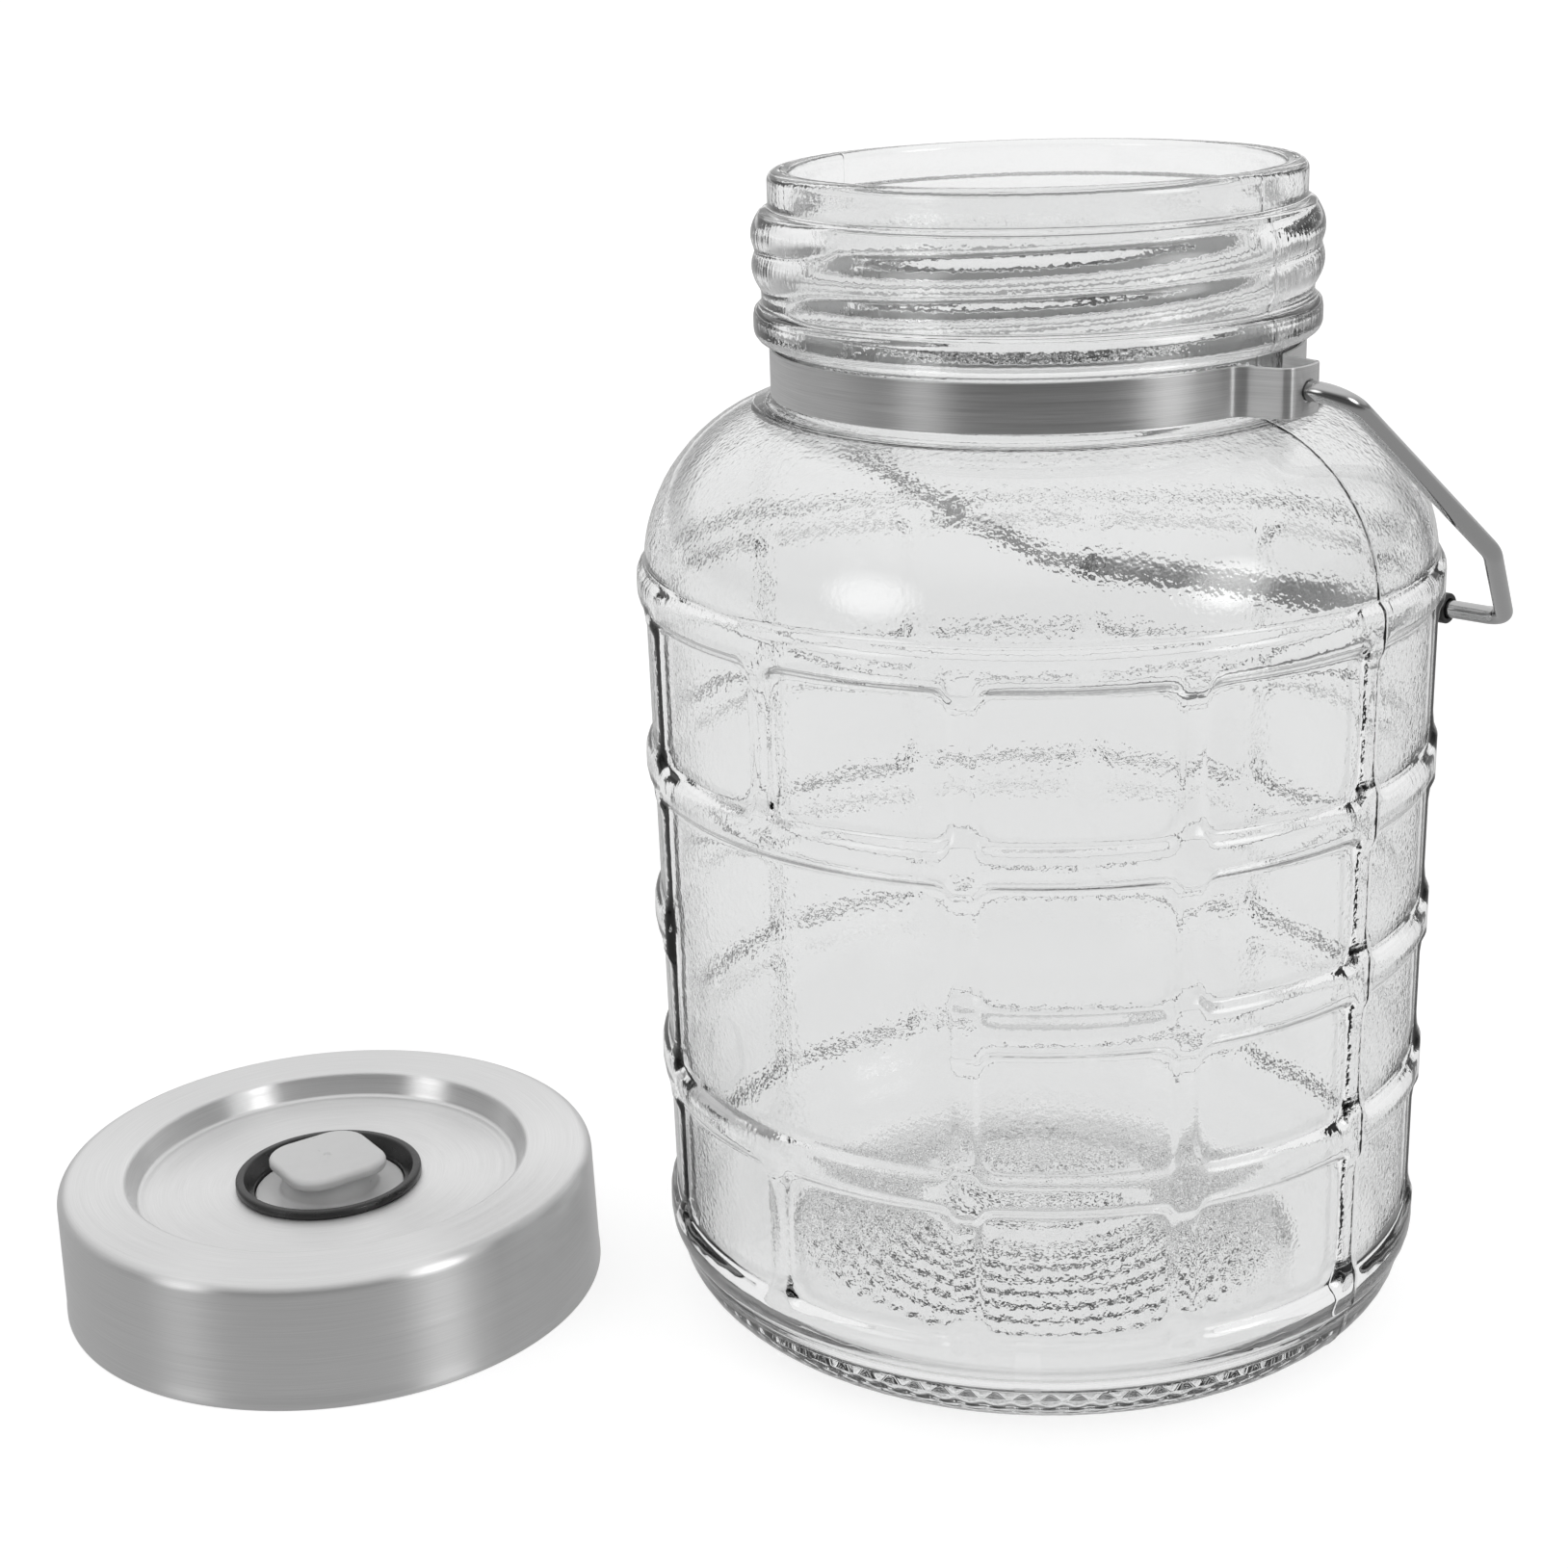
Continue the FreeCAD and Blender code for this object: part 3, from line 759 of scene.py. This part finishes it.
def pierced(band, cutter):
    """The band with the cutter's shape taken out of it; the cutter is removed."""
    cut = band.modifiers.new("Hole", "BOOLEAN")
    cut.operation, cut.solver, cut.object = "DIFFERENCE", "EXACT", cutter
    bpy.context.view_layer.update()
    ready = bpy.data.meshes.new_from_object(band.evaluated_get(bpy.context.evaluated_depsgraph_get()))
    band.modifiers.clear()
    band.data = ready
    bpy.data.objects.remove(cutter)


def make_band(s, finish, foot):
    """Strip carried along its path: each point is the path plus the outline's offset along the path's
    normal and up; the wire's holes are then cut through the ears' faces."""
    path = band_path(s)
    tangent = np.roll(path, -1, 0) - np.roll(path, 1, 0)
    tangent /= np.linalg.norm(tangent, axis=1)[:, None]
    normal = np.stack([tangent[:, 1], -tangent[:, 0]], 1)
    t, h = s.band_thick / 2, s.band_height
    corners = [(-t, 0, 0.2 * MM), (t, 0, 0.25 * MM), (t, h, 0.25 * MM), (-t, h, 0.2 * MM)]
    section = densify(rounded(corners, closed=True, turn=radians(30)), 3 * MM, closed=True)
    along = np.array([cos(s.ear_turn), sin(s.ear_turn), 0.0])
    side = np.array([-sin(s.ear_turn), cos(s.ear_turn), 0.0])
    plan = (path[:, None] + normal[:, None] * section[None, :, :1]) @ np.stack([along[:2], side[:2]])
    level = foot + s.band_foot + section[None, :, 1] + np.zeros((len(path), 1))
    grid = np.concatenate([plan, level[..., None]], -1).transpose(1, 0, 2)
    around = run_length(np.vstack([path, path[:1]]))
    up = run_length(np.vstack([section, section[:1]]))
    band = skin("neck_strip", grid, around, up, wrap_rows=True)
    ring = np.linspace(0, tau, 48, endpoint=False)[:, None]
    circle = s.ear_hole / 2 * (np.cos(ring) * side + np.sin(ring) * [0, 0, 1.0])
    middle = np.array([0, 0, foot + s.band_foot + s.band_height / 2])
    stations = s.band_inner + s.ear_reach + np.array([-5.0, -5.0, 5.0, 5.0]) * MM
    swell = np.array([0.0, 1.0, 1.0, 0.0])[:, None, None]
    for sign in (1, -1):
        rod = sign * stations[:, None, None] * along + swell * circle + middle
        pierced(band, skin("hole_cutter", rod, np.linspace(0, 1, 49), np.linspace(0, 1, 4)))
    band.data.name = "neck_strip"
    band.data.set_sharp_from_angle(angle=radians(35))
    band.data.materials.clear()
    brushed = steel(
        "Brushed band steel", finish.band_steel, lines=5200.0, stretch=90.0,
        roughness=0.38, relief=0.6, anisotropy=0.88, dark=0.72,
    )
    attach(band, "jar", "band_steel", ("neck_band",), brushed)


def bail_frame(s, hinge):
    """Origin of the bail's plane at rest; directions along the hinge, down the legs and square to both."""
    turn, dip = s.ear_turn, s.bail_dip
    u = np.array([cos(turn), sin(turn), 0.0])
    level = np.array([-sin(turn), cos(turn), 0.0])
    v = level * cos(dip) - np.array([0, 0, 1.0]) * sin(dip)
    return np.array([0, 0, hinge]), u, v, np.cross(u, v)


def make_bail(s, finish, hinge):
    """Round wire along straight runs and arcs in one plane: path + r (cos t n + sin t b), closed by domed
    ends whose radius falls as a quarter circle."""
    face = s.band_inner + s.band_thick + s.ear_reach
    out = face + 8.2 * MM
    knee = out + 2.5 * MM
    corner = knee - 13.8 * MM
    half = [
        (face - 7.7 * MM, 0, 0),
        (out, 0, 8 * MM),
        (knee, s.bail_knee, 16 * MM),
        (corner, s.bail_drop, 7 * MM),
    ]
    line = rounded(half + [(-x, y, r) for x, y, r in reversed(half)], turn=radians(6))
    line = densify(line, 5 * MM)
    tangent = np.gradient(line, axis=0)
    tangent /= np.linalg.norm(tangent, axis=1)[:, None]
    lip = 0.6 * MM
    quarter = np.radians([90.0, 60.0, 30.0, 0.0])
    inset = lip * np.r_[0.0, 1 - np.sin(quarter)][:, None]
    dome = np.r_[0.0, s.wire / 2 - lip + lip * np.cos(quarter)]
    start = line[0] + inset * tangent[0]
    end = line[-1] - inset[::-1] * tangent[-1]
    radius = np.r_[dome, np.full(len(line) - 2, s.wire / 2), dome[::-1]][:, None, None]
    line = np.vstack([start, line[1:-1], end])
    tangent = np.vstack([tangent[:1]] * 5 + [tangent[1:-1]] + [tangent[-1:]] * 5)
    origin, u, v, w = bail_frame(s, hinge)
    centre = origin + line[:, :1] * u + line[:, 1:] * v
    side = np.cross(tangent[:, :1] * u + tangent[:, 1:] * v, w)[:, None]
    t = np.linspace(0, tau, 40, endpoint=False)[None, :, None]
    grid = centre[:, None] + radius * (np.cos(t) * w + np.sin(t) * side)
    around = np.linspace(0, 1, 41) * pi * s.wire
    wire = skin("bail_bend", grid, around, run_length(line))
    polished = steel(
        "Polished wire steel", finish.wire_steel, lines=9000.0, stretch=0.02,
        roughness=0.13, relief=0.12, anisotropy=0.0, dark=0.92,
    )
    attach(wire, "bail", "wire_steel", ("bail_wire",), polished)


def turned_on_bar(name, s, hinge, outline, segments=64):
    """Surface of revolution about the crossbar: distance along it from the outline's second number."""
    origin, u, v, w = bail_frame(s, hinge)
    t = np.linspace(0, tau, segments, endpoint=False)
    r, x = outline[:, 0][:, None, None], outline[:, 1][:, None, None]
    ring = np.cos(t)[None, :, None] * v + np.sin(t)[None, :, None] * w
    grid = origin + s.bail_drop * v + x * u + r * ring
    loop = np.vstack([outline, outline[:1]])
    span = pi * s.grip_diameter * np.linspace(0, 1, segments + 1)
    return skin(name, grid, span, run_length(loop), wrap_rows=True)


def make_grip(s, finish, hinge):
    """Steel tube with rounded ends, and a black bushing in each end."""
    r, half = s.grip_diameter / 2, s.grip_length / 2
    inner, bore = r - 0.6 * MM, s.wire / 2 + 0.3 * MM
    face, plug = 2.0 * MM, 7.0 * MM
    end = half - face
    corners = [(r, -end, 0.25 * MM), (r, end, 0.25 * MM), (inner, end, 0.1 * MM), (inner, -end, 0.1 * MM)]
    tube = densify(rounded(corners, closed=True, turn=radians(25)), 6 * MM, closed=True)
    sleeve = turned_on_bar("grip_sleeve", s, hinge, tube)
    satin = steel(
        "Satin grip steel", finish.wire_steel, lines=6000.0, stretch=0.02,
        roughness=0.28, relief=0.4, anisotropy=0.4, dark=0.88,
    )
    attach(sleeve, "grip", "grip_steel", ("grip_tube",), satin)
    black = plastic("Black bushing plastic", finish.vent_black, 0.45, 900.0, 0.04 * MM)
    corners = [
        (bore, end - plug, 0.2 * MM),
        (inner, end - plug, 0.3 * MM),
        (inner, end, 0),
        (r, end, 0.15 * MM),
        (r, half, 0.5 * MM),
        (bore, half, 0.4 * MM),
    ]
    outline = rounded(corners, closed=True, turn=radians(20))
    for name, node, sign in (("grip_end_near", "grip_bush_near", 1), ("grip_end_far", "grip_bush_far", -1)):
        bush = turned_on_bar(name, s, hinge, outline * [1, sign])
        attach(bush, "grip", "bush_black", (node,), black)


# ---- the lid


def lid_centre():
    """Middle of the lid in plan, from the lid's own box."""
    low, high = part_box("lid_shell")
    return (low[0] + high[0]) / 2, (low[1] + high[1]) / 2


def make_lid(s, finish):
    """Pressed steel: an outline of hem, leaning side, rounded edge, flat rim, recess wall and recess, and
    the same line offset inwards by the sheet, turned about the lid's axis."""
    top, under = s.radius - s.draft, s.height - s.sheet
    recess, well = s.height - s.recess_depth, s.recess_radius - 2.5 * MM
    hem = 1.9 * MM
    corners = [
        (s.radius - hem, 0, 0.7 * MM),
        (s.radius, 0, 0.7 * MM),
        (s.radius - 0.05 * MM, 2.2 * MM, 0),
        (s.radius - 0.18 * MM, 2.6 * MM, 0),
        (top, s.height, s.shoulder),
        (s.recess_radius, s.height, 1.5 * MM),
        (well, recess, 1.3 * MM),
        (well - 2.2 * MM, recess, 0.0),
        (well - 2.6 * MM, recess - 0.12 * MM, 0.0),
        (s.vent_inner, recess - 0.12 * MM, 0),
        (s.vent_inner, recess - s.sheet, 0),
        (well + s.sheet * 0.7, recess - s.sheet, 2.0 * MM),
        (s.recess_radius + s.sheet * 0.7, under, 0.7 * MM),
        (top - s.sheet, under, s.shoulder - s.sheet),
        (s.radius - s.sheet, 2.4 * MM, 0),
        (s.radius - hem, 2.4 * MM, 0),
    ]
    outline = densify(rounded(corners, closed=True, turn=radians(8)), 3.0 * MM, closed=True)
    lid = lathe("lid_cover", outline, 288, lid_centre())
    brushed = steel(
        "Brushed lid steel", finish.lid_steel, lines=4200.0, stretch=110.0,
        roughness=0.35, relief=0.35, anisotropy=0.9, dark=0.86,
    )
    attach(lid, "jar", "lid_steel", ("lid_shell",), brushed)


def make_vent(s, finish):
    """Black cup in the lid: a raised rim and a shallow well, turned about the lid's axis."""
    recess = s.height - s.recess_depth
    foot, rim, sheet = recess - 6 * MM, recess + 2 * MM, 1.2 * MM
    corners = [
        (0, foot, 0),
        (s.vent_inner, foot, 1.0 * MM),
        (s.vent_inner, recess, 0),
        (s.vent_outer, recess, 0),
        (s.vent_outer, rim, 0.8 * MM),
        (s.vent_outer - 2.0 * MM, rim, 0.6 * MM),
        (s.vent_inner - sheet, recess - 1.5 * MM, 1.0 * MM),
        (s.vent_inner - sheet, foot + sheet, 0),
        (0, foot + sheet, 0),
    ]
    outline = densify(rounded(corners, turn=radians(15)), 2.5 * MM)
    cup = lathe("vent_cup", outline, 144, lid_centre(), closed=False)
    black = plastic("Black vent plastic", finish.vent_black, 0.30, 700.0, 0.03 * MM)
    attach(cup, "jar", "vent_black", ("vent_ring",), black)


def rounded_square(angle, half, corner):
    """Distance from the middle of a rounded square to its edge: half / cos on a side, and the far root of
    the corner circle's equation at a corner."""
    fold = np.abs((angle + pi / 4) % (pi / 2) - pi / 4)
    inner = half - corner
    along = (np.cos(fold) + np.sin(fold)) * inner
    at_corner = along + np.sqrt(np.clip(corner**2 - 2 * inner**2 + along**2, 0, None))
    return np.where(np.tan(fold) <= inner / half, half / np.cos(fold), at_corner)


def make_knob(s, finish):
    """White vent knob: rows whose plan goes from a circle (disc and neck) to a rounded square (plate)."""
    recess = s.height - s.recess_depth
    foot = recess - 4.8 * MM
    top = s.height + 0.1 * MM
    under = top - 3.3 * MM
    t = np.linspace(0, tau, 160, endpoint=False)
    square = rounded_square(t - s.knob_turn, 1.0, 0.586)
    corners = [
        (0, foot, 0),
        (18.6 * MM, foot, 0.3 * MM),
        (18.6 * MM, foot + 2.4 * MM, 0.5 * MM),
        (12.0 * MM, foot + 2.4 * MM, 1.2 * MM),
        (11.4 * MM, under, 0.5 * MM),
        (s.knob_half, under + 0.1 * MM, 0.9 * MM),
        (s.knob_half, top - 0.25 * MM, 1.3 * MM),
        (1.0 * MM, top, 0.4 * MM),
        (0.6 * MM, top - 0.3 * MM, 0.2 * MM),
        (0, top - 0.3 * MM, 0),
    ]
    line = densify(rounded(corners, turn=radians(12)), 1.6 * MM)
    plate = np.clip((line[:, 1] - under) / (0.1 * MM), 0, 1) * np.clip(line[:, 0] / (6 * MM), 0, 1)
    plate = plate * (line[:, 1] > foot + 3 * MM)
    reach = line[:, :1] * (1 + plate[:, None] * (square[None] - 1))
    cx, cy = lid_centre()
    grid = np.stack([cx + reach * np.cos(t), cy + reach * np.sin(t), line[:, 1:] + 0 * t], -1)
    knob = skin("vent_button", grid, np.linspace(0, 80 * MM, 161), run_length(line))
    white = plastic("White knob plastic", finish.knob_white, 0.32, 260.0, 0.05 * MM, 0.35)
    attach(knob, "jar", "knob_white", ("vent_knob",), white)


# ---- the stage


def make_world(finish):
    """Soft studio light by direction: dim behind the camera, bright behind the jar and overhead, with a
    dimmer belt low down and two round soft boxes at the front left and front right. The camera sees white."""
    world = bpy.data.worlds.new("Studio")
    bpy.context.scene.world = world
    world.use_nodes = True
    tree = world.node_tree
    tree.nodes.clear()
    way = put(tree, "TexCoord").outputs["Generated"]
    unit = put(tree, "VectorMath", {0: way}, operation="NORMALIZE").outputs[0]
    x, y, z = put(tree, "SeparateXYZ", {0: unit}).outputs
    level = maths(tree, "SQRT", maths(tree, "MULTIPLY_ADD", x, x, maths(tree, "MULTIPLY", y, y)))
    back = maths(tree, "DIVIDE", y, maths(tree, "MAXIMUM", level, 0.001))
    round_about = put(tree, "ValToRGB", {0: maths(tree, "MULTIPLY_ADD", back, 0.5, 0.5)})
    stops = ((0.0, 0.15), (0.25, 0.3), (0.5, 0.55), (0.7, 0.7), (0.88, 0.95), (1.0, 1.1))
    elements = round_about.color_ramp.elements
    while len(elements) < len(stops):
        elements.new(0.5)
    for element, (position, value) in zip(elements, stops):
        element.position = position
        element.color = (value, value, value, 1)
    overhead = remap(tree, z, 0.35, 0.85, smooth=True)
    total = blend(tree, overhead, round_about.outputs[0], 1.05)
    rise = remap(tree, z, 0.01, 0.07, smooth=True)
    fall = remap(tree, z, 0.17, 0.27, smooth=True)
    belt = maths(tree, "MULTIPLY_ADD", maths(tree, "SUBTRACT", rise, fall), -0.55, 1.0)
    total = maths(tree, "MULTIPLY", total, belt)
    edge, core = cos(radians(16)), cos(radians(2))
    for azimuth, elevation, strength in ((-49, 17, 2.4), (58, 19, 4.6)):
        a, e = radians(azimuth), radians(elevation)
        toward = (sin(a) * cos(e), -cos(a) * cos(e), sin(e))
        near = put(tree, "VectorMath", {0: unit, 1: toward}, operation="DOT_PRODUCT")
        spot = remap(tree, near.outputs["Value"], edge, core, 0.0, strength, smooth=True)
        total = maths(tree, "ADD", total, spot)
    seen = put(tree, "LightPath").outputs["Is Camera Ray"]
    light = {"Color": blend(tree, seen, total, 1.0), "Strength": finish.studio_light}
    put(tree, "OutputWorld", {0: put(tree, "Background", light).outputs[0]})


def make_floor(finish):
    """A plain pale floor at the height that the jar stands on, lit a little from below. Reflections see a
    darker floor that fades toward the front, and the floor seen through glass has almost no shadow."""
    level, reach = float(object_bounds()[0][2]), 30.0
    corners = [(-reach, -reach), (reach, -reach), (reach, reach), (-reach, reach)]
    mesh = bpy.data.meshes.new("floor")
    mesh.from_pydata([(x, y, level) for x, y in corners], [], [(0, 1, 2, 3)])
    floor = bpy.data.objects.new("floor", mesh)
    bpy.context.scene.collection.objects.link(floor)
    material, tree, shader = start_material("Pale floor")
    front = put(tree, "SeparateXYZ", {0: object_place(tree)}).outputs[1]
    # painted shade: the glow that reflections see falls from 0.5 to 0.12 toward the front, standing in for
    # light falling off
    fade = remap(tree, front, -0.55, -0.16, 0.12, 0.5, smooth=True)
    rays = put(tree, "LightPath").outputs
    through = rays["Is Transmission Ray"]
    mirrored = maths(tree, "MULTIPLY", rays["Is Glossy Ray"], maths(tree, "SUBTRACT", 1.0, through))
    glow = blend(tree, mirrored, finish.floor_glow, fade)
    glow = maths(tree, "MULTIPLY_ADD", rays["Is Camera Ray"], 0.16, glow)
    # painted light: through glass the floor glows 0.31 more and its lit base is dimmed, which fills in the
    # jar's shadow
    glow = maths(tree, "MULTIPLY_ADD", through, 0.31, glow)
    dimmed = maths(tree, "MULTIPLY_ADD", through, 0.7, mirrored)
    inputs = {
        "Base Color": tinted(tree, dimmed, finish.floor_pale, BLACK),
        "Roughness": 0.9,
        "Specular IOR Level": 0.0,
        "Emission Color": (1, 1, 1, 1),
        "Emission Strength": glow,
    }
    feed(tree, shader, inputs)
    mesh.materials.append(material)
    floor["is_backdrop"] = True


def make_camera():
    """Camera in front and above, looking down at the jar and the lid, rolled a little."""
    yaw, pitch, roll = -0.1011, 0.3220, -0.0333
    ahead = (sin(yaw) * cos(pitch), cos(yaw) * cos(pitch), -sin(pitch))
    level = np.array([cos(yaw), -sin(yaw), 0.0])
    up = np.cross(level, ahead)
    matrix = np.eye(4)
    matrix[:3, 0] = cos(roll) * level + sin(roll) * up
    matrix[:3, 1] = cos(roll) * up - sin(roll) * level
    matrix[:3, 2] = np.negative(ahead)
    matrix[:3, 3] = (0.0, -0.6006, 0.3259)
    lens = bpy.data.cameras.new("camera")
    lens.sensor_width, lens.lens = 36.0, 60.15
    lens.clip_start, lens.clip_end = 0.01, 100.0
    camera = bpy.data.objects.new("camera", lens)
    camera.matrix_world = mathutils.Matrix(matrix.tolist())
    bpy.context.scene.collection.objects.link(camera)
    bpy.context.scene.camera = camera


# ---- operators and panel


def hinge_height(scene):
    """Height of the bail's hinge."""
    return scene.jar_glass.body_height + scene.jar_steel.band_foot + scene.jar_steel.band_height / 2


class JAR_OT_glass(bpy.types.Operator):
    """Make the clear glass jar"""

    bl_idname = "jar.glass"
    bl_label = "Glass"

    def execute(self, context):
        make_glass(context.scene.jar_glass, context.scene.jar_finish)
        return {"FINISHED"}


class JAR_OT_band(bpy.types.Operator):
    """Make the steel band with its two ears"""

    bl_idname = "jar.band"
    bl_label = "Band"

    def execute(self, context):
        scene = context.scene
        make_band(scene.jar_steel, scene.jar_finish, scene.jar_glass.body_height)
        return {"FINISHED"}


class JAR_OT_bail(bpy.types.Operator):
    """Make the wire bail and the grip on it"""

    bl_idname = "jar.bail"
    bl_label = "Bail and grip"

    def execute(self, context):
        scene = context.scene
        for make in (make_bail, make_grip):
            make(scene.jar_steel, scene.jar_finish, hinge_height(scene))
        return {"FINISHED"}


class JAR_OT_lid(bpy.types.Operator):
    """Make the steel lid with its vent and knob"""

    bl_idname = "jar.lid"
    bl_label = "Lid"

    def execute(self, context):
        for make in (make_lid, make_vent, make_knob):
            make(context.scene.jar_lid, context.scene.jar_finish)
        return {"FINISHED"}


class JAR_OT_stage(bpy.types.Operator):
    """Set up the floor, the studio light and the camera"""

    bl_idname = "jar.stage"
    bl_label = "Stage"

    def execute(self, context):
        finish = context.scene.jar_finish
        make_world(finish)
        make_floor(finish)
        make_camera()
        context.scene.view_settings.view_transform = "Standard"
        return {"FINISHED"}


class JAR_PT_panel(bpy.types.Panel):
    """Sizes, finishes and buttons of the jar"""

    bl_label = "Jar"
    bl_idname = "JAR_PT_panel"
    bl_space_type = "VIEW_3D"
    bl_region_type = "UI"
    bl_category = "Jar"

    def draw(self, context):
        for operator in OPERATORS:
            self.layout.operator(operator.bl_idname)
        for group in ("jar_glass", "jar_steel", "jar_lid", "jar_finish"):
            values = getattr(context.scene, group)
            column = self.layout.column()
            for key in values.__annotations__:
                column.prop(values, key)


GROUPS = {"jar_glass": GlassSizes, "jar_steel": SteelSizes, "jar_lid": LidSizes, "jar_finish": JarFinish}
OPERATORS = (JAR_OT_stage, JAR_OT_glass, JAR_OT_band, JAR_OT_bail, JAR_OT_lid)


def register():
    for kind in (*GROUPS.values(), *OPERATORS, JAR_PT_panel):
        bpy.utils.register_class(kind)
    for name, kind in GROUPS.items():
        setattr(bpy.types.Scene, name, bpy.props.PointerProperty(type=kind))


def unregister():
    for name in GROUPS:
        delattr(bpy.types.Scene, name)
    for kind in reversed((*GROUPS.values(), *OPERATORS, JAR_PT_panel)):
        bpy.utils.unregister_class(kind)


def main():
    register()
    bpy.ops.jar.stage()
    bpy.ops.jar.glass()
    bpy.ops.jar.band()
    bpy.ops.jar.bail()
    bpy.ops.jar.lid()


if __name__ == "__main__":
    main()
